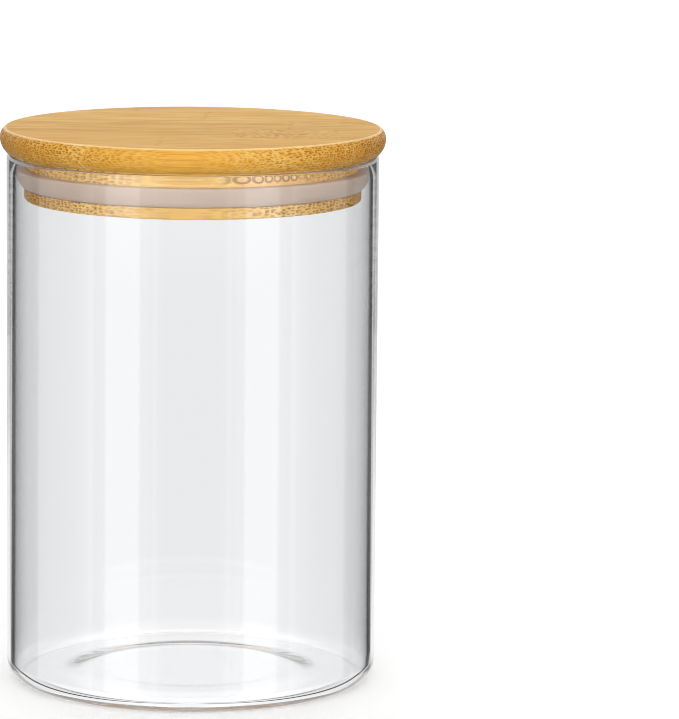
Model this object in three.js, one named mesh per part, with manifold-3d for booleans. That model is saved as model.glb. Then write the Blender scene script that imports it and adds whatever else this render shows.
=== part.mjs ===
// Lidded glass canister: a straight glass jar for dry goods, closed by a plug lid of
// laminated bamboo that carries a silicone seal in a turned groove.
//
// Millimetres, +Z up. The origin is the centre of the ring that the jar stands on.

import * as THREE from 'three';
import { mergeVertices } from 'three/addons/utils/BufferGeometryUtils.js';
import Module from 'manifold-3d';

const solids = await Module();
solids.setup();

// ---------------------------------------------------------------- driving dimensions

const totalHeight = 150;        // table to lid top, lid closed

// Glass jar
const jarRadius = 50;
const glassWall = 2;
const heelRadius = 5;           // outside round between the wall and the foot
const footInnerRadius = 38;     // the jar stands on the flat ring from here to the heel
const puntRadius = 24;          // raised middle of the base, underneath
const puntHeight = 1;
const floorTop = 2.2;           // the floor beside the inside round
const floorEdgeRadius = 39;
const floorRiseRadius = 22;     // raised middle of the floor
const floorRise = 0.75;
const floorFillet = 3.2;        // inside round between the floor and the wall

// Bamboo lid
const lidRadius = 51.75;
const coverThickness = 6.6;
const coverWidestDrop = 2.6;    // lid top down to the widest line of its edge
const coverUpperRound = 3.25;
const coverLowerRound = 5.2;
const rimClearance = 0.4;       // glass rim to the underside of the cover
const plugRadius = 45.5;
const plugDepth = 12.5;         // underside of the cover to the bottom of the plug
const plugEdgeRound = 0.6;
const plugUpperBand = 4.3;      // plug left standing above the groove
const plugLowerBand = 3.1;      // plug left standing below it
const grooveRadius = 42;

// Bamboo strips: three plies, each glued from parallel strips with staggered joints
const stripWidth = 20.5;
const glueLine = 0.1;
const grainAngle = THREE.MathUtils.degToRad(-3);   // strips to the X axis
const coverFirstJoint = -44.5;
const upperPlyFirstJoint = -34;
const lowerPlyFirstJoint = -29;

// Silicone seal
const sealClearance = 0.3;      // to the groove and to the glass
const sealHeelRadius = 45.2;    // where the lip leaves the lower band
const sealLipThickness = 1;
const sealLipRoot = 2.1;        // height of the lip's root above the seal's bottom
const sealLipRise = 0.25;       // the lip's tip above the top of the groove

// Mesh fineness
const roundSegments = 72;
const arcSteps = 3;             // a quarter or half round gets twice as many

// ---------------------------------------------------------------- worked-out heights

const coverUnderside = totalHeight - coverThickness;
const jarHeight = coverUnderside - rimClearance;
const plugBottom = coverUnderside - plugDepth;
const grooveTop = coverUnderside - plugUpperBand;
const grooveBottom = plugBottom + plugLowerBand;
const plyJoint = (coverUnderside + plugBottom) / 2;

// ---------------------------------------------------------------- helpers

// Turns an outline of radius and height about the Z axis.
function turned(outline) {
  const points = outline.getPoints(arcSteps);
  const apart = points.filter((p, i) => i === 0 || p.distanceTo(points[i - 1]) > 1e-6);
  const geometry = new THREE.LatheGeometry(apart, roundSegments);
  geometry.rotateX(Math.PI / 2);
  return geometry;
}

function solidFrom(geometry) {
  const bare = geometry.clone();
  bare.deleteAttribute('normal');
  bare.deleteAttribute('uv');
  const merged = mergeVertices(bare);
  const index = merged.index.array;
  const corners = [];
  for (let i = 0; i < index.length; i += 3) {
    const [a, b, c] = [index[i], index[i + 1], index[i + 2]];
    const isFlat = a === b || b === c || c === a;
    if (!isFlat) corners.push(a, b, c);
  }
  return new solids.Manifold(new solids.Mesh({
    numProp: 3,
    vertProperties: merged.attributes.position.array,
    triVerts: new Uint32Array(corners),
  }));
}

function geometryFrom(solid) {
  const { vertProperties, triVerts } = solid.getMesh();
  const geometry = new THREE.BufferGeometry();
  geometry.setAttribute('position', new THREE.BufferAttribute(vertProperties, 3));
  geometry.setIndex(new THREE.BufferAttribute(triVerts, 1));
  geometry.computeVertexNormals();
  return geometry;
}

function named(name, geometry, material) {
  const mesh = new THREE.Mesh(geometry, material);
  mesh.name = name;
  return mesh;
}

// ---------------------------------------------------------------- glass jar

// The wall is one thickness up to a fire-polished rim, and so is the heel, nearly. The
// base is pushed up in the middle, so that the jar stands on a flat ring.
function jarGeometry() {
  const innerRadius = jarRadius - glassWall;
  const rimRound = glassWall / 2;
  const puntMiddle = (footInnerRadius + puntRadius) / 2;
  const riseMiddle = (floorEdgeRadius + floorRiseRadius) / 2;
  const middleTop = floorTop + floorRise;
  const outline = new THREE.Path();
  outline.moveTo(0, puntHeight);
  outline.lineTo(puntRadius, puntHeight);
  outline.bezierCurveTo(puntMiddle, puntHeight, puntMiddle, 0, footInnerRadius, 0);
  outline.lineTo(jarRadius - heelRadius, 0);
  outline.absarc(jarRadius - heelRadius, heelRadius, heelRadius, -Math.PI / 2, 0);
  outline.lineTo(jarRadius, jarHeight - rimRound);
  outline.absarc(jarRadius - rimRound, jarHeight - rimRound, rimRound, 0, Math.PI);
  outline.lineTo(innerRadius, floorTop + floorFillet);
  outline.absarc(innerRadius - floorFillet, floorTop + floorFillet, floorFillet,
    0, -Math.PI / 2, true);
  outline.lineTo(floorEdgeRadius, floorTop);
  outline.bezierCurveTo(riseMiddle, floorTop, riseMiddle, middleTop,
    floorRiseRadius, middleTop);
  outline.lineTo(0, middleTop);
  return turned(outline);
}

// ---------------------------------------------------------------- silicone seal

// A ring that sits in the groove, with a lip that leans out to the glass and rises
// beside the plug.
function sealGeometry() {
  const bottom = grooveBottom + sealClearance;
  const top = grooveTop - sealClearance;
  const innerRadius = grooveRadius + sealClearance;
  const lipRadius = jarRadius - glassWall - sealClearance;
  const lipInner = lipRadius - sealLipThickness;
  const bodyRadius = sealHeelRadius - sealLipThickness;
  const tipRound = sealLipThickness / 2;
  const lipTip = new THREE.Vector2(lipRadius - tipRound, grooveTop + sealLipRise - tipRound);
  const outline = new THREE.Path();
  outline.moveTo(innerRadius, bottom);
  outline.lineTo(sealHeelRadius, bottom);
  outline.bezierCurveTo(sealHeelRadius + sealLipThickness, bottom,
    lipRadius, bottom + sealLipRoot, lipRadius, lipTip.y);
  outline.absarc(lipTip.x, lipTip.y, tipRound, 0, Math.PI);
  outline.quadraticCurveTo(lipInner, bottom + sealLipRoot, bodyRadius, bottom + sealLipRoot);
  outline.lineTo(bodyRadius, top);
  outline.lineTo(innerRadius, top);
  outline.lineTo(innerRadius, bottom);
  return turned(outline);
}

// ---------------------------------------------------------------- bamboo lid

// The cover's edge is two rounds that meet on its widest line. The upper one ends in a
// crisp ridge at the flat top, and the lower one at the flat underside.
function coverGeometry() {
  const widest = totalHeight - coverWidestDrop;
  const lowerStart = -Math.asin((widest - coverUnderside) / coverLowerRound);
  const upperEnd = Math.asin(coverWidestDrop / coverUpperRound);
  const undersideRadius = lidRadius - coverLowerRound * (1 - Math.cos(lowerStart));
  const outline = new THREE.Path();
  outline.moveTo(0, coverUnderside);
  outline.lineTo(undersideRadius, coverUnderside);
  outline.absarc(lidRadius - coverLowerRound, widest, coverLowerRound, lowerStart, 0);
  outline.absarc(lidRadius - coverUpperRound, widest, coverUpperRound, 0, upperEnd);
  outline.lineTo(0, totalHeight);
  return turned(outline);
}

function plugGeometry() {
  const outline = new THREE.Path();
  outline.moveTo(0, plugBottom);
  outline.lineTo(plugRadius - plugEdgeRound, plugBottom);
  outline.lineTo(plugRadius, plugBottom + plugEdgeRound);
  outline.lineTo(plugRadius, grooveBottom);
  outline.lineTo(grooveRadius, grooveBottom);
  outline.lineTo(grooveRadius, grooveTop);
  outline.lineTo(plugRadius, grooveTop);
  outline.lineTo(plugRadius, coverUnderside);
  outline.lineTo(0, coverUnderside);
  return turned(outline);
}

// Cuts one ply out of a turned shape as strips, numbered from the front to the back.
function plyStrips(plyName, shape, lowZ, highZ, firstJoint, colour) {
  const shapeSolid = solidFrom(shape);
  const joints = [-lidRadius - 1];
  for (let y = firstJoint; y < lidRadius; y += stripWidth) joints.push(y);
  joints.push(lidRadius + 1);
  const strips = [];
  for (let i = 0; i + 1 < joints.length; i += 1) {
    const width = joints[i + 1] - joints[i] - glueLine;
    const box = new THREE.BoxGeometry(2 * lidRadius + 20, width, highZ - lowZ);
    box.translate(0, (joints[i] + joints[i + 1]) / 2, (lowZ + highZ) / 2);
    box.rotateZ(grainAngle);
    const strip = shapeSolid.intersect(solidFrom(box));
    if (strip.isEmpty()) continue;
    const tone = 0.025 * Math.sin(2.4 * (strips.length + joints[1]));
    const bamboo = new THREE.MeshStandardMaterial({
      color: new THREE.Color(colour).offsetHSL(0, 0, tone),
      roughness: 0.5,
      metalness: 0,
    });
    strips.push(named(`${plyName}_strip_${strips.length + 1}`, geometryFrom(strip), bamboo));
  }
  return strips;
}

// ---------------------------------------------------------------- assembly

const glass = new THREE.MeshStandardMaterial({
  color: 0xf2f7f5,
  roughness: 0.03,
  metalness: 0,
  transparent: true,
  opacity: 0.3,
});
const silicone = new THREE.MeshStandardMaterial({
  color: 0xe2dad4,
  roughness: 0.45,
  metalness: 0,
});

const cover = coverGeometry();
const plug = plugGeometry();
const halfGlue = glueLine / 2;

const lid = new THREE.Group();
lid.add(
  ...plyStrips('cover', cover, coverUnderside, totalHeight, coverFirstJoint, 0xdeb070),
  ...plyStrips('upper_plug', plug, plyJoint + halfGlue, coverUnderside - glueLine,
    upperPlyFirstJoint, 0xe0b57c),
  ...plyStrips('lower_plug', plug, plugBottom, plyJoint - halfGlue,
    lowerPlyFirstJoint, 0xd9a666),
);

const canister = new THREE.Group();
canister.add(
  named('glass_jar', jarGeometry(), glass),
  named('seal_ring', sealGeometry(), silicone),
  lid,
);

export default canister;
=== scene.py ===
"""Lidded glass canister: a straight glass jar closed by a bamboo plug lid with a silicone seal.

Metres, +Z up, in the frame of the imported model: the origin is the centre of the ring that the
jar stands on. Every CAD node is replaced by a finer piece of the same size in the same place.
"""
import math

import bmesh
import bpy
from mathutils import Matrix, Vector, noise


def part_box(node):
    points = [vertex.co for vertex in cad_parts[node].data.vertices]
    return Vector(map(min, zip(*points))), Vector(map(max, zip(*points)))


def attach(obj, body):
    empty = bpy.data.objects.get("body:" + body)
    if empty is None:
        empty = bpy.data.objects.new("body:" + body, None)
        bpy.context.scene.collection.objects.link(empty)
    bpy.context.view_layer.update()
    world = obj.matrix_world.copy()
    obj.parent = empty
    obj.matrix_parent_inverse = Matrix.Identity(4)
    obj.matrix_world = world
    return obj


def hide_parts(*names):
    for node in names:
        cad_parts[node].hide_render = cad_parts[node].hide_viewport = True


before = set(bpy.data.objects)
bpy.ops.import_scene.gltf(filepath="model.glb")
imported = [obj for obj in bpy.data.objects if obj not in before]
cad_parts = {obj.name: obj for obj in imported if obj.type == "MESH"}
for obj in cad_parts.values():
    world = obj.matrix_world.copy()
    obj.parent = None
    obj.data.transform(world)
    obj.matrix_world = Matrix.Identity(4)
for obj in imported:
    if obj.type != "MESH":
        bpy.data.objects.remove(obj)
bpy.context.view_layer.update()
MM = 0.001

# ------------------------------------------------------------------ sizes from the frame


def box_of(prefix):
    """Lowest and highest corner of all the CAD nodes whose names start with prefix."""
    boxes = [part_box(name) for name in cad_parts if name.startswith(prefix)]
    low = Vector(min(b[0][i] for b in boxes) for i in range(3))
    high = Vector(max(b[1][i] for b in boxes) for i in range(3))
    return low, high


JAR_HIGH = box_of("glass_jar")[1]
SEAL_LOW, SEAL_HIGH = box_of("seal_ring")
COVER_LOW, COVER_HIGH = box_of("cover_strip")
UPPER_LOW, UPPER_HIGH = box_of("upper_plug_strip")
LOWER_LOW, LOWER_HIGH = box_of("lower_plug_strip")

JAR_RADIUS = JAR_HIGH.x
JAR_TOP = JAR_HIGH.z
LID_RADIUS = COVER_HIGH.x
LID_TOP = COVER_HIGH.z
UNDERSIDE = COVER_LOW.z
PLUG_RADIUS = UPPER_HIGH.x
PLUG_BOTTOM = LOWER_LOW.z
PLY_JOINT = (UPPER_LOW.z + LOWER_HIGH.z) / 2
LIP_RADIUS = SEAL_HIGH.x

# Sizes inside a node, as the CAD model has them
GLASS_WALL = 2 * MM
HEEL_RADIUS = 5 * MM
FOOT_INNER_RADIUS = 38 * MM
PUNT_RADIUS = 24 * MM
PUNT_HEIGHT = 1 * MM
FLOOR_TOP = 2.2 * MM
FLOOR_EDGE_RADIUS = 39 * MM
FLOOR_RISE_RADIUS = 22 * MM
FLOOR_RISE = 0.75 * MM
FLOOR_FILLET = 3.2 * MM
COVER_WIDEST_DROP = 2.6 * MM
COVER_UPPER_ROUND = 3.25 * MM
COVER_LOWER_ROUND = 5.2 * MM
GROOVE_RADIUS = 42 * MM
SEAL_CLEARANCE = 0.3 * MM
SEAL_HEEL_RADIUS = 45.2 * MM
SEAL_LIP = 1 * MM
SEAL_LIP_ROOT = 2.1 * MM
PLUG_UPPER_BAND = 4.3 * MM
STRIP_WIDTH = 20.5 * MM
GRAIN_ANGLE = math.radians(-3)
COVER_FIRST_JOINT = -44.5 * MM
UPPER_FIRST_JOINT = -34 * MM
LOWER_FIRST_JOINT = -29 * MM
GROOVE_TOP = UNDERSIDE - PLUG_UPPER_BAND
GROOVE_BOTTOM = SEAL_LOW.z - SEAL_CLEARANCE

# Fine detail that only these pieces have
GLUE_LINE = 0.02 * MM
RIDGE_ROUND = 0.3 * MM
PLUG_EDGE_ROUND = 0.5 * MM
GROOVE_EDGE_ROUND = 0.08 * MM
SEAL_GAP = 0.06 * MM
RIPPLE_DEPTH = 0.03 * MM
RIPPLE_STOPS_BELOW_RIM = 4 * MM

# How finely the meshes are made
ROUND_SEGMENTS = 256
GLASS_SEGMENTS = 512
WALL_STEPS = 40
BEZIER_STEPS = 14
SAME_POINT = 1e-7
ON_AXIS = 1e-9

# Colours, as linear red, green, blue and alpha
WHITE = (1, 1, 1, 1)
GLASS_TINT = (0.946, 0.949, 0.955, 1)
SILICONE_DEEP = (0.565, 0.445, 0.36, 1)
SILICONE_PALE = (0.61, 0.49, 0.40, 1)
WOOD_PALE = (0.78, 0.49, 0.14, 1)
WOOD_WARM = (0.68, 0.345, 0.05, 1)
WOOD_DARK = (0.235, 0.08, 0.010, 1)
# The next colour is a painted highlight for the pale band along the lid's top ridge.
RIDGE_PAINTED_HIGHLIGHT = (0.95, 0.72, 0.38, 1)
END_GRAIN_SHADE = (0.90, 0.80, 0.70, 1)
LOOP_DARK = (0.27, 0.10, 0.035, 1)
LOOP_PALE = (0.66, 0.42, 0.24, 1)
STUDIO_FLOOR_PALE = (0.93, 0.93, 0.93, 1)

# Indices of refraction
GLASS_IOR = 1.47
SILICONE_IOR = 1.41

# The bamboo's loops, in the wood's own millimetres, and the depth of its relief
LOOP_SPACING = 1.35
LOOP_HALF_HEIGHT = 0.85
BUMP_DEPTH = 0.05 * MM

# The studio: where its light comes from, in degrees above the horizon, and how strong it is
WALL_VIEW_RISE = -10.5
LAMP_RISE = 15
LENS_RISE = -32
LAMP_STRENGTH = 3.2
WINDOW_STRENGTH = 1.9
STUDIO_FLOOR_RADIUS = 6.0

# The camera, in metres and degrees
CAMERA_PLACE = (0, -1.2575, 0.2939)
CAMERA_PITCH = 9.337
CAMERA_YAW = -1.815
CAMERA_ROLL = 0.575
CAMERA_LENS_MM = 235.9
CAMERA_FARTHEST = 50

# ------------------------------------------------------------------ mesh helpers


def arc(centre_r, centre_z, radius, start, end, steps):
    """Points of a round stretch of an outline, with its angles in degrees."""
    angles = [math.radians(start + (end - start) * i / steps) for i in range(steps + 1)]
    return [(centre_r + radius * math.cos(a), centre_z + radius * math.sin(a)) for a in angles]


def bezier(p0, p1, p2, p3):
    """Points of a cubic stretch of an outline."""
    points = []
    for i in range(BEZIER_STEPS + 1):
        t = i / BEZIER_STEPS
        weights = ((1 - t) ** 3, 3 * t * (1 - t) ** 2, 3 * t * t * (1 - t), t ** 3)
        points.append(tuple(
            sum(w * p[k] for w, p in zip(weights, (p0, p1, p2, p3))) for k in (0, 1)))
    return points


def turned(outline, segments=ROUND_SEGMENTS, closed_ring=False):
    """A bmesh of an outline of (radius, height) turned about Z. A closed ring joins its ends."""
    points = [p for i, p in enumerate(outline)
              if i == 0 or math.dist(p, outline[i - 1]) > SAME_POINT]
    bm = bmesh.new()
    rings = []
    for radius, height in points:
        if radius < ON_AXIS:
            rings.append([bm.verts.new((0, 0, height))] * segments)
            continue
        angles = [2 * math.pi * k / segments for k in range(segments)]
        rings.append([bm.verts.new((radius * math.cos(a), radius * math.sin(a), height))
                      for a in angles])
    pairs = list(zip(rings, rings[1:]))
    if closed_ring:
        pairs.append((rings[-1], rings[0]))
    for lower, upper in pairs:
        for k in range(segments):
            n = (k + 1) % segments
            corners = [lower[k], lower[n], upper[n], upper[k]]
            unique = [c for i, c in enumerate(corners) if c not in corners[:i]]
            if len(unique) > 2:
                bm.faces.new(unique)
    bmesh.ops.recalc_face_normals(bm, faces=bm.faces)
    return bm


def piece_from(bm, name, material, sharp_degrees=30):
    """Makes the bmesh an object at the origin, smooth apart from its sharp edges."""
    mesh = bpy.data.meshes.new(name)
    bm.to_mesh(mesh)
    bm.free()
    mesh.shade_smooth()
    mesh.set_sharp_from_angle(angle=math.radians(sharp_degrees))
    mesh.materials.append(material)
    piece = bpy.data.objects.new(name, mesh)
    bpy.context.scene.collection.objects.link(piece)
    return piece


# ------------------------------------------------------------------ node helpers


class Graph:
    """Builds shader nodes from short calls. Every call returns an output socket."""

    def __init__(self, tree):
        self.tree = tree

    def node(self, kind, **settings):
        made = self.tree.nodes.new(kind)
        for key, value in settings.items():
            setattr(made, key, value)
        return made

    def feed(self, socket, value):
        if isinstance(value, bpy.types.NodeSocket):
            self.tree.links.new(value, socket)
        elif value is not None:
            socket.default_value = value

    def math(self, operation, a, b=None, c=None):
        made = self.node("ShaderNodeMath", operation=operation)
        for socket, value in zip(made.inputs, (a, b, c)):
            self.feed(socket, value)
        return made.outputs[0]

    def ramp(self, value, low, high, to_low=0.0, to_high=1.0):
        """Smooth step: to_low where value is at low or beyond it, to_high at high or beyond."""
        made = self.node("ShaderNodeMapRange", interpolation_type="SMOOTHSTEP")
        for socket, v in zip(made.inputs, (value, low, high, to_low, to_high)):
            self.feed(socket, v)
        return made.outputs[0]

    def mix(self, factor, a, b, blend="MIX"):
        """Colour a at factor 0, and b at factor 1."""
        made = self.node("ShaderNodeMix", data_type="RGBA", blend_type=blend)
        self.feed(made.inputs[0], factor)
        self.feed(made.inputs[6], a)
        self.feed(made.inputs[7], b)
        return made.outputs[2]

    def blend(self, factor, a, b):
        """Number a at factor 0, and b at factor 1."""
        made = self.node("ShaderNodeMix", data_type="FLOAT")
        self.feed(made.inputs[0], factor)
        self.feed(made.inputs[2], a)
        self.feed(made.inputs[3], b)
        return made.outputs[0]

    def vector(self, x=0.0, y=0.0, z=0.0):
        made = self.node("ShaderNodeCombineXYZ")
        for socket, value in zip(made.inputs, (x, y, z)):
            self.feed(socket, value)
        return made.outputs[0]

    def noise(self, vector, scale=1.0, detail=2.0, roughness=0.5):
        made = self.node("ShaderNodeTexNoise")
        self.feed(made.inputs["Vector"], vector)
        self.feed(made.inputs["Scale"], scale)
        self.feed(made.inputs["Detail"], detail)
        self.feed(made.inputs["Roughness"], roughness)
        return made.outputs[0]

    def cells(self, x, y):
        """Flat Voronoi cells: the distance to the nearest point, and a random value a cell."""
        made = self.node("ShaderNodeTexVoronoi", voronoi_dimensions="2D")
        self.feed(made.inputs["Vector"], self.vector(x, y))
        self.feed(made.inputs["Scale"], 1.0)
        self.feed(made.inputs["Randomness"], 0.7)
        split = self.node("ShaderNodeSeparateColor")
        self.feed(split.inputs[0], made.outputs["Color"])
        return made.outputs["Distance"], split.outputs[0]


def new_material(name):
    """A material, the graph that builds its nodes, and its main shader."""
    material = bpy.data.materials.new(name)
    material.use_nodes = True
    shader = material.node_tree.nodes["Principled BSDF"]
    return material, Graph(material.node_tree), shader


# ------------------------------------------------------------------ glass


def glass_material():
    """Clear glass with a slight tint, and a trace of haze in soft patches."""
    material, g, shader = new_material("clear_glass")
    place = g.node("ShaderNodeTexCoord").outputs["Object"]
    haze = g.noise(place, scale=35.0, detail=3.0)
    g.feed(shader.inputs["Base Color"], GLASS_TINT)
    g.feed(shader.inputs["Roughness"], g.ramp(haze, 0.55, 0.8, 0.0, 0.012))
    shader.inputs["IOR"].default_value = GLASS_IOR
    shader.inputs["Transmission Weight"].default_value = 1.0
    return material


def push_up(edge_radius, edge_z, top_radius, rise):
    """One face of the pushed-up base, from its flat middle out to its edge."""
    middle = (edge_radius + top_radius) / 2
    top_z = edge_z + rise
    return [(0, top_z), *bezier((top_radius, top_z), (middle, top_z),
                                (middle, edge_z), (edge_radius, edge_z))]


def jar_outline():
    """From the middle of the underside, round the heel and the rim, to the middle inside."""
    inner = JAR_RADIUS - GLASS_WALL
    rim = GLASS_WALL / 2
    heel = JAR_RADIUS - HEEL_RADIUS
    fillet_r, fillet_z = inner - FLOOR_FILLET, FLOOR_TOP + FLOOR_FILLET
    wall = [(inner, JAR_TOP - rim + (fillet_z - JAR_TOP + rim) * i / WALL_STEPS)
            for i in range(1, WALL_STEPS)]
    return [
        *push_up(FOOT_INNER_RADIUS, 0, PUNT_RADIUS, PUNT_HEIGHT),
        *arc(heel, HEEL_RADIUS, HEEL_RADIUS, -90, 0, 16),
        *arc(JAR_RADIUS - rim, JAR_TOP - rim, rim, 0, 180, 16),
        *wall,
        *arc(fillet_r, fillet_z, FLOOR_FILLET, 0, -90, 16),
        *reversed(push_up(FLOOR_EDGE_RADIUS, FLOOR_TOP, FLOOR_RISE_RADIUS, FLOOR_RISE)),
    ]


def ripple_inner_wall(bm):
    """The drawn tube's inner wall is a few hundredths of a millimetre uneven."""
    per_metre_across, per_metre_up = 9, 45
    for vert in bm.verts:
        radius = math.hypot(vert.co.x, vert.co.y)
        on_inner_wall = abs(radius - (JAR_RADIUS - GLASS_WALL)) < 0.01 * MM
        if not on_inner_wall or vert.co.z > JAR_TOP - RIPPLE_STOPS_BELOW_RIM:
            continue
        spot = Vector((vert.co.x * per_metre_across, vert.co.y * per_metre_across,
                       vert.co.z * per_metre_up))
        grow = 1 + RIPPLE_DEPTH * noise.noise(spot) / radius
        vert.co.x *= grow
        vert.co.y *= grow


def make_jar():
    bm = turned(jar_outline(), segments=GLASS_SEGMENTS)
    ripple_inner_wall(bm)
    jar = piece_from(bm, "jar_glass", glass_material(), sharp_degrees=60)
    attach(jar, "jar")
    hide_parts("glass_jar")


# ------------------------------------------------------------------ silicone seal


def silicone_material():
    """Milky silicone: soft clouds in its colour and gloss, and light scattered inside it."""
    material, g, shader = new_material("milky_silicone")
    place = g.node("ShaderNodeTexCoord").outputs["Object"]
    cloud = g.noise(place, scale=90.0, detail=3.0)
    colour = g.mix(g.ramp(cloud, 0.3, 0.7), SILICONE_DEEP, SILICONE_PALE)
    g.feed(shader.inputs["Base Color"], colour)
    g.feed(shader.inputs["Roughness"], g.ramp(cloud, 0.3, 0.7, 0.34, 0.44))
    shader.inputs["Subsurface Weight"].default_value = 0.5
    shader.inputs["Subsurface Radius"].default_value = (1.0, 0.75, 0.6)
    shader.inputs["Subsurface Scale"].default_value = 3 * MM
    shader.inputs["IOR"].default_value = SILICONE_IOR
    return material


def seal_outline():
    """A ring with a flared lip, which rises beside the plug and all but touches the glass."""
    bottom = GROOVE_BOTTOM + SEAL_GAP
    top = SEAL_HIGH.z
    inner = GROOVE_RADIUS + SEAL_CLEARANCE
    tip_r, tip_z = LIP_RADIUS - SEAL_LIP / 2, top - SEAL_LIP / 2
    lip_inner = PLUG_RADIUS + SEAL_GAP
    body_top = GROOVE_TOP - SEAL_GAP
    return [
        (inner, bottom),
        *bezier((SEAL_HEEL_RADIUS, bottom), (SEAL_HEEL_RADIUS + SEAL_LIP, bottom),
                (LIP_RADIUS, bottom + SEAL_LIP_ROOT), (LIP_RADIUS, tip_z)),
        *arc(tip_r, tip_z, SEAL_LIP / 2, 0, 90, 8),
        (lip_inner, top),
        (lip_inner, body_top),
        (inner, body_top),
    ]


def make_seal():
    bm = turned(seal_outline(), closed_ring=True)
    seal = piece_from(bm, "seal_silicone", silicone_material())
    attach(seal, "seal")
    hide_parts("seal_ring")


# ------------------------------------------------------------------ bamboo


def bamboo_group():
    """Colour, roughness and height of bamboo, from the place in the lid in millimetres.

    Fibre bundles are dots across the strip's width and thickness, drawn out along its
    length, so a cut across the strip shows dots and a cut along it shows streaks. Places,
    spacings and heights are in millimetres, and so are the numbers that ramps of them use.
    """
    tree = bpy.data.node_groups.new("bamboo_grain", "ShaderNodeTree")
    numbers = (
        "Seed", "Tone", "Richness", "Yellowness",
        "Dot spacing", "Dot rows", "Dot strength",
        "Ply low", "Ply high",
        "Loop height", "Loop strength",
        "Knot place", "Knot strength", "Dive",
        "Ridge radius")
    for name in numbers:
        tree.interface.new_socket(name, in_out="INPUT", socket_type="NodeSocketFloat")
    tree.interface.new_socket("Color", in_out="OUTPUT", socket_type="NodeSocketColor")
    tree.interface.new_socket("Roughness", in_out="OUTPUT", socket_type="NodeSocketFloat")
    tree.interface.new_socket("Height", in_out="OUTPUT", socket_type="NodeSocketFloat")
    g = Graph(tree)
    given = g.node("NodeGroupInput").outputs
    seed = given["Seed"]

    place = g.node("ShaderNodeTexCoord").outputs
    mapping = g.node("ShaderNodeMapping")
    g.feed(mapping.inputs["Vector"], place["Object"])
    mapping.inputs["Rotation"].default_value = (0, 0, -GRAIN_ANGLE)
    mapping.inputs["Scale"].default_value = (1 / MM, 1 / MM, 1 / MM)
    split = g.node("ShaderNodeSeparateXYZ")
    g.feed(split.inputs[0], mapping.outputs[0])
    along, across, height = split.outputs
    radius = g.math("SQRT", g.math("ADD", g.math("MULTIPLY", along, along),
                                   g.math("MULTIPLY", across, across)))
    # How squarely the surface is cut across the fibres, from 0 to 1
    facing = g.node("ShaderNodeVectorMath", operation="DOT_PRODUCT")
    g.feed(facing.inputs[0], place["Normal"])
    facing.inputs[1].default_value = (math.cos(GRAIN_ANGLE), math.sin(GRAIN_ANGLE), 0)
    square_cut = g.math("ABSOLUTE", facing.outputs["Value"])

    # Fibres wander a little, swerve at a knot and dive out of the surface beyond it.
    # Those that dive are cut at a slant, so a patch of dots shows there on the lid's top.
    wander = g.noise(g.vector(g.math("MULTIPLY", along, 0.03),
                              g.math("MULTIPLY", across, 0.08), seed), detail=1.0)
    wander = g.math("MULTIPLY_ADD", wander, 3.0, -1.5)
    from_knot = g.math("SUBTRACT", along, given["Knot place"])
    knot_wave = g.noise(g.vector(seed, g.math("MULTIPLY", across, 0.45), height), detail=2.0)
    from_line = g.math("ADD", from_knot, g.math("MULTIPLY_ADD", knot_wave, 5.0, -2.5))
    near_knot = g.ramp(g.math("ABSOLUTE", from_line), 6, 0)
    near_knot = g.math("MULTIPLY", near_knot, given["Knot strength"])
    swerve = g.math("MULTIPLY", near_knot, g.math("MULTIPLY_ADD", knot_wave, 2.4, -1.2))
    fibre_v = g.math("ADD", g.math("ADD", across, wander), swerve)
    run_out = g.math("MINIMUM", g.math("MAXIMUM", from_line, -3.0), 26.0)
    fibre_w = g.math("ADD", height, g.math("MULTIPLY", run_out, given["Dive"]))
    fibre_w = g.math("ADD", fibre_w, g.math("MULTIPLY", wander, 0.35))

    # Fibre bundles: dark dots, a little darker towards the top of each ply
    distance, chance = g.cells(
        g.math("ADD", g.math("DIVIDE", fibre_v, given["Dot spacing"]), seed),
        g.math("DIVIDE", fibre_w, given["Dot rows"]))
    dots = g.math("MULTIPLY", g.ramp(distance, 0.44, 0.28),
                  g.math("MULTIPLY_ADD", chance, 0.5, 0.5))
    depth = g.math("DIVIDE", g.math("SUBTRACT", height, given["Ply low"]),
                   g.math("SUBTRACT", given["Ply high"], given["Ply low"]))
    dots = g.math("MULTIPLY", dots, g.ramp(depth, 0.2, 0.9, 0.75, 1.0))
    # Surfaces along the fibres show few dots, apart from where the fibres dive: from the
    # knot's line until 13 to 28 mm beyond it, in uneven patches.
    patch = g.math("MULTIPLY", g.ramp(from_line, -2, 6), g.ramp(from_line, 28, 13))
    patch = g.math("MULTIPLY", patch, g.ramp(knot_wave, 0.32, 0.6, 0.1, 1.0))
    shown = g.math("MAXIMUM", g.ramp(square_cut, 0.1, 0.6, 0.3, 1.0),
                   g.math("MULTIPLY", g.math("MULTIPLY", given["Dive"], 2.4), patch))
    dots = g.math("MULTIPLY", g.math("MULTIPLY", dots, shown), given["Dot strength"])

    # Streaks along the fibres give the long grain.
    streak = g.noise(g.vector(g.math("MULTIPLY", along, 0.045),
                              g.math("ADD", g.math("MULTIPLY", fibre_v, 0.7), seed),
                              g.math("MULTIPLY", fibre_w, 1.1)), detail=3.0, roughness=0.6)
    hair = g.noise(g.vector(g.math("MULTIPLY", along, 0.12),
                            g.math("MULTIPLY", fibre_v, 5.0),
                            g.math("ADD", g.math("MULTIPLY", fibre_w, 5.0), seed)), detail=2.0)
    broad = g.noise(g.vector(g.math("MULTIPLY", along, 0.02),
                             g.math("MULTIPLY", across, 0.11), seed), detail=2.0)

    ground = g.mix(g.ramp(streak, 0.35, 0.68), WOOD_PALE, WOOD_WARM)
    ground = g.mix(g.ramp(broad, 0.35, 0.65, 0.0, 0.7), ground, WOOD_WARM)
    ground = g.mix(g.ramp(hair, 0.35, 0.75, 0.0, 0.16), ground, WOOD_DARK)
    end_grain = g.mix(1.0, ground, END_GRAIN_SHADE, blend="MULTIPLY")
    ground = g.mix(g.ramp(square_cut, 0.5, 1.0), ground, end_grain)

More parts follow.
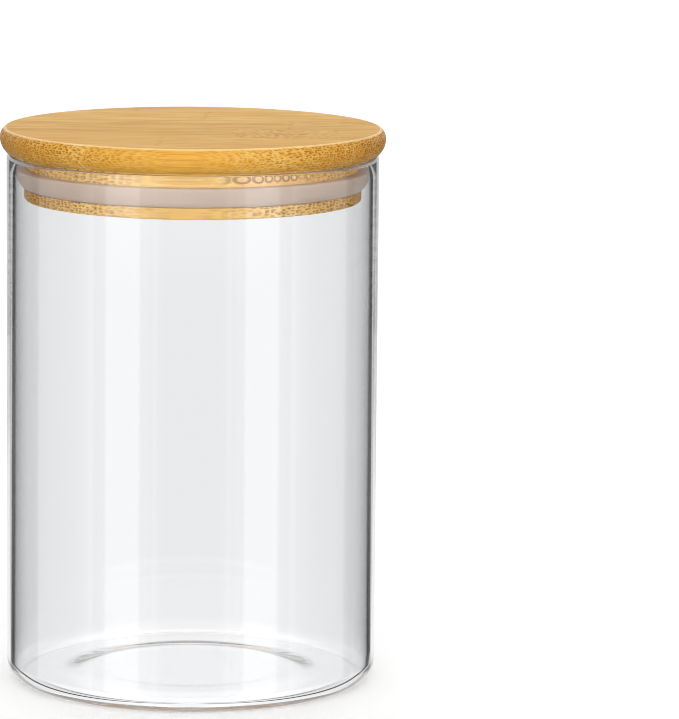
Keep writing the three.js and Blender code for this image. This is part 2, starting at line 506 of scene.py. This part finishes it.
    # The coarsest bundles: one row of tall dark loops with pale middles, where the strip is
    # cut across, and mostly 9 to 28 mm to the right of the lid's middle.
    loop_at = g.math("ADD", g.math("DIVIDE", fibre_v, LOOP_SPACING), seed)
    loop_x = g.math("MULTIPLY", g.math("SUBTRACT", g.math("FRACT", loop_at), 0.5), 2.3)
    chances = g.node("ShaderNodeTexWhiteNoise", noise_dimensions="1D")
    g.feed(chances.inputs["W"], g.math("ADD", g.math("FLOOR", loop_at), seed))
    loop_chance = chances.outputs["Value"]
    loop_z = g.math("SUBTRACT", height, given["Loop height"])
    loop_z = g.math("ADD", loop_z, g.math("MULTIPLY_ADD", loop_chance, 0.6, -0.3))
    from_middle = g.math("SQRT", g.math("ADD", g.math("MULTIPLY", loop_x, loop_x),
                                        g.math("MULTIPLY", loop_z, loop_z)))
    off_loop = g.math("ABSOLUTE", g.math("SUBTRACT", from_middle, LOOP_HALF_HEIGHT))
    loop = g.ramp(off_loop, 0.38, 0.12)
    here = g.math("MULTIPLY", given["Loop strength"], g.ramp(square_cut, 0.15, 0.33))
    here = g.math("MULTIPLY", here, g.ramp(along, 2, 9, 0.08, 1.0))
    here = g.math("MULTIPLY", here, g.ramp(along, 36, 28, 0.25, 1.0))
    bundle = g.math("MULTIPLY", dots, g.ramp(streak, 0.25, 0.65, 0.7, 1.0))
    bundle = g.math("MULTIPLY", bundle, g.math("MULTIPLY_ADD", here, -0.8, 1.0))
    colour = g.mix(bundle, ground, WOOD_DARK)
    loop = g.math("MULTIPLY", g.math("MULTIPLY", loop, here),
                  g.ramp(loop_chance, 0.0, 0.8, 0.4, 1.0))
    colour = g.mix(loop, colour, LOOP_DARK)
    middle = g.math("MULTIPLY", g.ramp(from_middle, 0.7, 0.35), here)
    colour = g.mix(g.math("MULTIPLY", middle, 0.5), colour, LOOP_PALE)

    # A knot is a thin dark line across the strip, with warmer wood on both sides.
    line = g.ramp(g.math("ABSOLUTE", from_line), 0.7, 0.1)
    line = g.math("MULTIPLY", g.math("MULTIPLY", line, given["Knot strength"]),
                  g.ramp(hair, 0.4, 0.6, 0.1, 0.45))
    colour = g.mix(line, colour, WOOD_DARK)
    colour = g.mix(g.math("MULTIPLY", near_knot, 0.22), colour, WOOD_WARM)
    # A pale band painted round the ridge at the top is a painted highlight, and the ridge is
    # made a little smoother there too.
    past_ridge = g.math("SUBTRACT", radius, given["Ridge radius"])
    below_top = g.math("SUBTRACT", given["Ply high"], height)
    polish_and_painted_highlight = g.math("MULTIPLY", g.ramp(past_ridge, -0.5, -0.2), g.ramp(below_top, 0.45, 0.15))
    colour = g.mix(g.math("MULTIPLY", polish_and_painted_highlight, 0.6), colour, RIDGE_PAINTED_HIGHLIGHT)
    tone = g.node("ShaderNodeHueSaturation")
    g.feed(tone.inputs["Color"], colour)
    g.feed(tone.inputs["Value"], given["Tone"])
    g.feed(tone.inputs["Saturation"], given["Richness"])
    g.feed(tone.inputs["Hue"], given["Yellowness"])

    result = g.node("NodeGroupOutput").inputs
    g.feed(result["Color"], tone.outputs[0])
    rough = g.math("MULTIPLY_ADD", bundle, 0.12, g.ramp(hair, 0.3, 0.7, 0.42, 0.52))
    g.feed(result["Roughness"], g.math("MULTIPLY_ADD", polish_and_painted_highlight, -0.15, rough))
    g.feed(result["Height"], g.math("SUBTRACT", g.math("MULTIPLY", hair, 0.5), bundle))
    return tree


def bamboo_material(name, grain, values):
    """The grain group's colour, roughness and fine relief, with one strip's own values."""
    material, g, shader = new_material(name)
    group = g.node("ShaderNodeGroup", node_tree=grain)
    shader.inputs["Specular IOR Level"].default_value = 0.05
    for key, value in values.items():
        group.inputs[key].default_value = value
    bump = g.node("ShaderNodeBump")
    bump.inputs["Strength"].default_value = 0.25
    bump.inputs["Distance"].default_value = BUMP_DEPTH
    g.feed(bump.inputs["Height"], group.outputs["Height"])
    g.feed(shader.inputs["Base Color"], group.outputs["Color"])
    g.feed(shader.inputs["Roughness"], group.outputs["Roughness"])
    g.feed(shader.inputs["Normal"], bump.outputs[0])
    return material


def ridge_radius():
    """Where the edge's upper round would meet the flat top."""
    reach = math.sqrt(COVER_UPPER_ROUND ** 2 - COVER_WIDEST_DROP ** 2)
    return LID_RADIUS - COVER_UPPER_ROUND + reach


def cover_outline():
    """The cover ply: flat underside, a two-round edge and a slightly eased ridge at the top."""
    widest = LID_TOP - COVER_WIDEST_DROP
    lower_start = -math.degrees(math.asin((widest - UNDERSIDE) / COVER_LOWER_ROUND))
    upper_end = math.degrees(math.asin(COVER_WIDEST_DROP / COVER_UPPER_ROUND))
    upper_centre = LID_RADIUS - COVER_UPPER_ROUND
    # The ridge's small round touches the top plane and the edge's upper round.
    inner_reach = COVER_UPPER_ROUND - RIDGE_ROUND
    rise = COVER_WIDEST_DROP - RIDGE_ROUND
    ease_centre = upper_centre + math.sqrt(inner_reach ** 2 - rise ** 2)
    ease_start = math.degrees(math.asin(rise / inner_reach))
    return [
        (0, UNDERSIDE),
        *arc(LID_RADIUS - COVER_LOWER_ROUND, widest, COVER_LOWER_ROUND, lower_start, 0, 14),
        *arc(upper_centre, widest, COVER_UPPER_ROUND, 0, min(ease_start, upper_end), 12),
        *arc(ease_centre, LID_TOP - RIDGE_ROUND, RIDGE_ROUND, ease_start, 90, 5),
        (0, LID_TOP),
    ]


def upper_plug_outline():
    """The plug between the cover and the joint inside the groove."""
    edge = PLUG_RADIUS - GROOVE_EDGE_ROUND
    return [
        (0, PLY_JOINT),
        (GROOVE_RADIUS, PLY_JOINT),
        (GROOVE_RADIUS, GROOVE_TOP),
        *arc(edge, GROOVE_TOP + GROOVE_EDGE_ROUND, GROOVE_EDGE_ROUND, -90, 0, 4),
        (PLUG_RADIUS, UNDERSIDE),
        (0, UNDERSIDE),
    ]


def lower_plug_outline():
    """The plug from the joint inside the groove down to its underside."""
    edge = PLUG_RADIUS - PLUG_EDGE_ROUND
    groove_edge = PLUG_RADIUS - GROOVE_EDGE_ROUND
    return [
        (0, PLUG_BOTTOM),
        *arc(edge, PLUG_BOTTOM + PLUG_EDGE_ROUND, PLUG_EDGE_ROUND, -90, 0, 5),
        *arc(groove_edge, GROOVE_BOTTOM - GROOVE_EDGE_ROUND, GROOVE_EDGE_ROUND, 0, 90, 4),
        (GROOVE_RADIUS, GROOVE_BOTTOM),
        (GROOVE_RADIUS, PLY_JOINT),
        (0, PLY_JOINT),
    ]


def keep_between(bm, low, high):
    """Cuts a turned ply down to the strip between two planes, and closes the cuts."""
    turn = Matrix.Rotation(GRAIN_ANGLE, 3, "Z")
    for place, direction in ((low, -1), (high, 1)):
        normal = turn @ Vector((0, direction, 0))
        cut = bmesh.ops.bisect_plane(
            bm, geom=[*bm.verts, *bm.edges, *bm.faces], dist=1e-8,
            plane_co=turn @ Vector((0, place, 0)), plane_no=normal, clear_outer=True)
        rim = [e for e in cut["geom_cut"] if isinstance(e, bmesh.types.BMEdge)]
        if rim:
            bmesh.ops.contextual_create(bm, geom=rim)
    bmesh.ops.recalc_face_normals(bm, faces=bm.faces)


def make_ply(prefix, outline, first_joint, grain, values, strip_values):
    """Every strip of one ply, from the front to the back."""
    count = sum(name.startswith(prefix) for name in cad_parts)
    reach = LID_RADIUS + MM
    joints = [-reach] + [first_joint + STRIP_WIDTH * i for i in range(count - 1)] + [reach]
    for i in range(count):
        bm = turned(outline)
        keep_between(bm, joints[i] + GLUE_LINE / 2, joints[i + 1] - GLUE_LINE / 2)
        node = f"{prefix}_{i + 1}"
        material = bamboo_material(f"bamboo_{node}", grain, {**values, **strip_values(i)})
        strip = piece_from(bm, f"bamboo_{node}", material)
        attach(strip, "lid")
        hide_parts(node)


def make_lid():
    grain = bamboo_group()
    # The plug has no painted ridge highlight, so its ridge is put where no wood is.
    plug = {"Ridge radius": 2 * LID_RADIUS / MM, "Dot rows": 0.7, "Dive": 0.0,
            "Knot strength": 0.0}
    make_ply(
        "cover_strip", cover_outline(), COVER_FIRST_JOINT, grain,
        {"Loop strength": 0.0, "Knot strength": 0.8, "Dot rows": 0.6,
         "Ridge radius": ridge_radius() / MM,
         "Ply low": UNDERSIDE / MM, "Ply high": LID_TOP / MM},
        lambda i: {
            "Seed": 7.31 * (i + 1),
            "Tone": (1.0, 1.01, 0.97, 0.95, 1.02, 1.0)[i],
            "Richness": 1.0,
            "Yellowness": 0.5,
            "Dot spacing": (0.5, 0.75, 1.3, 1.3, 0.75, 0.5)[i],
            "Dot strength": (0.9, 0.88, 1.0, 1.0, 0.88, 0.9)[i],
            "Knot place": (40, -7, 14, 26, 2, -18)[i],
            "Dive": (0, 0.04, 0.28, 0.03, 0, 0)[i]})
    # The upper plug's strips are painted paler and less rich than the lower plug's: painted
    # light that stands in for the pale veil the glass reflects over them.
    make_ply(
        "upper_plug_strip", upper_plug_outline(), UPPER_FIRST_JOINT, grain,
        {**plug, "Dot strength": 1.0,
         "Ply low": UPPER_LOW.z / MM, "Ply high": UNDERSIDE / MM,
         "Loop height": (GROOVE_TOP + UNDERSIDE) / 2 / MM},
        lambda i: {
            "Seed": 5.17 * (i + 9),
            "Tone": 1.36 + 0.03 * math.sin(1.7 * i),
            "Richness": 0.88,
            "Yellowness": 0.515,
            "Dot spacing": (0.85, 1.3, 1.8, 1.3, 0.85)[i],
            "Loop strength": (1.0, 0.8, 0.5, 0.8, 0.6)[i]})
    make_ply(
        "lower_plug_strip", lower_plug_outline(), LOWER_FIRST_JOINT, grain,
        {**plug, "Dot strength": 1.3, "Loop strength": 0.0,
         "Ply low": PLUG_BOTTOM / MM, "Ply high": PLY_JOINT / MM},
        lambda i: {
            "Seed": 3.91 * (i + 17),
            "Tone": 1.08 + 0.03 * math.cos(2.2 * i),
            "Richness": 0.93,
            "Yellowness": 0.508,
            "Dot spacing": (0.85, 1.3, 1.9, 1.3, 0.85)[i]})


# ------------------------------------------------------------------ stage, light and camera


def make_floor():
    """A wide pale disc at the canister's foot."""
    bm = bmesh.new()
    bmesh.ops.create_circle(bm, cap_ends=True, segments=96, radius=STUDIO_FLOOR_RADIUS)
    material, g, shader = new_material("pale_floor")
    g.feed(shader.inputs["Base Color"], STUDIO_FLOOR_PALE)
    shader.inputs["Roughness"].default_value = 0.9
    shader.inputs["Specular IOR Level"].default_value = 0.0
    shader.inputs["Emission Color"].default_value = WHITE
    shader.inputs["Emission Strength"].default_value = 0.16
    floor = piece_from(bm, "floor", material)
    # Glass, reflections and matt surfaces see the studio's lower half instead of the floor.
    floor.visible_transmission = False
    floor.visible_glossy = False
    floor.visible_diffuse = False


def make_world():
    """A white studio that is shown differently to each kind of ray.

    The camera sees plain white. Rays that the glass reflects see a dark band, with soft
    windows and a white table and ceiling. Rays that it lets through see a white wall, and
    matt surfaces are lit by soft lamps.
    """
    world = bpy.data.worlds.new("studio")
    bpy.context.scene.world = world
    world.use_nodes = True
    g = Graph(world.node_tree)
    background = world.node_tree.nodes["Background"]
    direction = g.node("ShaderNodeTexCoord").outputs["Generated"]
    split = g.node("ShaderNodeSeparateXYZ")
    g.feed(split.inputs[0], direction)
    x, y, z = split.outputs
    bearing = g.math("DEGREES", g.math("ARCTAN2", x, y))       # 0 is behind the canister
    rise = g.math("DEGREES", g.math("ARCSINE", z))

    def around(step):
        """How far the bearing is from the nearest whole number of steps, in degrees."""
        shifted = g.math("FLOORED_MODULO", g.math("ADD", bearing, step / 2), step)
        return g.math("ABSOLUTE", g.math("SUBTRACT", shifted, step / 2))

    # Light on matt surfaces: large soft lamps in front and behind, a dim floor and ceiling
    off_lamp = g.math("ABSOLUTE", g.math("SUBTRACT", rise, LAMP_RISE))
    lamp = g.math("MULTIPLY", g.ramp(off_lamp, 42, 8), g.ramp(around(180), 90, 10))
    lighting = g.math("ADD", g.ramp(rise, -5, -30, 0.1, 0.5), g.ramp(rise, 25, 60, 0.0, 0.5))
    lighting = g.math("MULTIPLY_ADD", lamp, LAMP_STRENGTH, lighting)

    # Reflections. An upright wall mirrors a band a little below eye level, which is dark but
    # for the backdrop behind and a soft window at the front on each side. Slanted glass also
    # mirrors the table, white in front and behind and dim at the sides, and the ceiling.
    side = g.math("ABSOLUTE", bearing)
    backdrop = g.ramp(side, 26, 20, 0.0, 0.95)
    window = g.math("MULTIPLY", g.ramp(side, 99, 126), g.ramp(side, 164, 150))
    table = g.math("MULTIPLY", g.ramp(around(180), 72, 45, 0.25, 1.12),
                   g.ramp(g.math("ABSOLUTE", rise), 18, 34, 1.0, 0.75))
    off_wall_view = g.math("ABSOLUTE", g.math("ADD", rise, -WALL_VIEW_RISE))
    room = g.ramp(off_wall_view, 5, 9, 0.10, table)
    room = g.math("ADD", room, g.ramp(rise, 35, 65, 0.0, 1.8))
    outer = g.math("ADD", g.math("MAXIMUM", room, backdrop),
                   g.math("MULTIPLY", window, WINDOW_STRENGTH))
    inner = g.math("MAXIMUM", room, 0.2)

    # Light turned back once inside the wall, at the jar's edge: the backdrop, then dark
    edge = g.ramp(around(90), 26, 22)
    flag = g.math("MULTIPLY", g.ramp(around(90), 23, 26), g.ramp(around(90), 35, 32))
    turned_back = g.math("ADD", g.math("MAXIMUM", room, 0.3),
                         g.math("MULTIPLY", window, WINDOW_STRENGTH))
    turned_back = g.math("MULTIPLY", g.math("MAXIMUM", turned_back, edge),
                         g.math("SUBTRACT", 1.0, flag))
    # Light turned back more than once was guided by the wall or the base: a dimmer backdrop
    guided = g.math("MAXIMUM", room, g.ramp(around(90), 31, 25, 0.0, 0.6))

    # Which of these a reflected ray sees depends on how often it went through a surface and
    # was reflected. After many reflections it has faded.
    ray = g.node("ShaderNodeLightPath").outputs
    passes, bounces = ray["Transmission Depth"], ray["Glossy Depth"]
    in_and_out = g.blend(g.math("GREATER_THAN", bounces, 1.5), turned_back, guided)
    reflected = g.blend(g.math("GREATER_THAN", passes, 0.5), outer, inner)
    reflected = g.blend(g.math("COMPARE", passes, 2.0, 0.1), reflected, in_and_out)
    reflected = g.math("MULTIPLY", reflected, g.ramp(bounces, 2, 14, 1.0, 0.3))
    # Straight through the glass: white, dimmer above eye level, and a little brighter where
    # the curved base gathers light from the table.
    off_lens = g.math("ABSOLUTE", g.math("ADD", rise, -LENS_RISE))
    lens = g.ramp(off_lens, 20, 8, 1.0, 1.12)
    through = g.math("SUBTRACT", lens, g.ramp(rise, -5, 3, 0.0, 0.3))
    strength = g.blend(g.math("GREATER_THAN", bounces, 0.5), through, reflected)
    # The seal and the plug are lit through the glass, and more so from the white table below.
    inner_gain = g.blend(g.math("GREATER_THAN", passes, 0.5), 1.0,
                         g.ramp(rise, -10, -40, 1.4, 2.8))
    lit = g.math("GREATER_THAN", ray["Diffuse Depth"], 0.5)
    strength = g.blend(lit, strength, g.math("MULTIPLY", lighting, inner_gain))
    strength = g.blend(ray["Is Camera Ray"], strength, 1.0)
    g.feed(background.inputs["Strength"], strength)
    background.inputs["Color"].default_value = WHITE


def make_camera():
    """The eye is about 1.26 m away and 0.29 m above the table, on a long lens."""
    data = bpy.data.cameras.new("camera")
    data.lens = CAMERA_LENS_MM
    data.clip_end = CAMERA_FARTHEST
    camera = bpy.data.objects.new("camera", data)
    bpy.context.scene.collection.objects.link(camera)
    camera.location = CAMERA_PLACE
    turn = Matrix.Rotation(math.radians(CAMERA_YAW), 4, "Z")
    tilt = Matrix.Rotation(math.pi / 2 - math.radians(CAMERA_PITCH), 4, "X")
    roll = Matrix.Rotation(math.radians(CAMERA_ROLL), 4, "Z")
    camera.rotation_euler = (turn @ tilt @ roll).to_euler()
    bpy.context.scene.camera = camera


make_camera()
make_world()
make_floor()
make_jar()
make_seal()
make_lid()
bpy.context.scene.view_settings.view_transform = "Standard"
# The thick glass base carries light through many reflections.
bpy.context.scene.cycles.max_bounces = 160
bpy.context.scene.cycles.glossy_bounces = 128
bpy.context.scene.cycles.transmission_bounces = 48
# A narrow pixel filter keeps the grain crisp.
bpy.context.scene.cycles.filter_width = 1.0
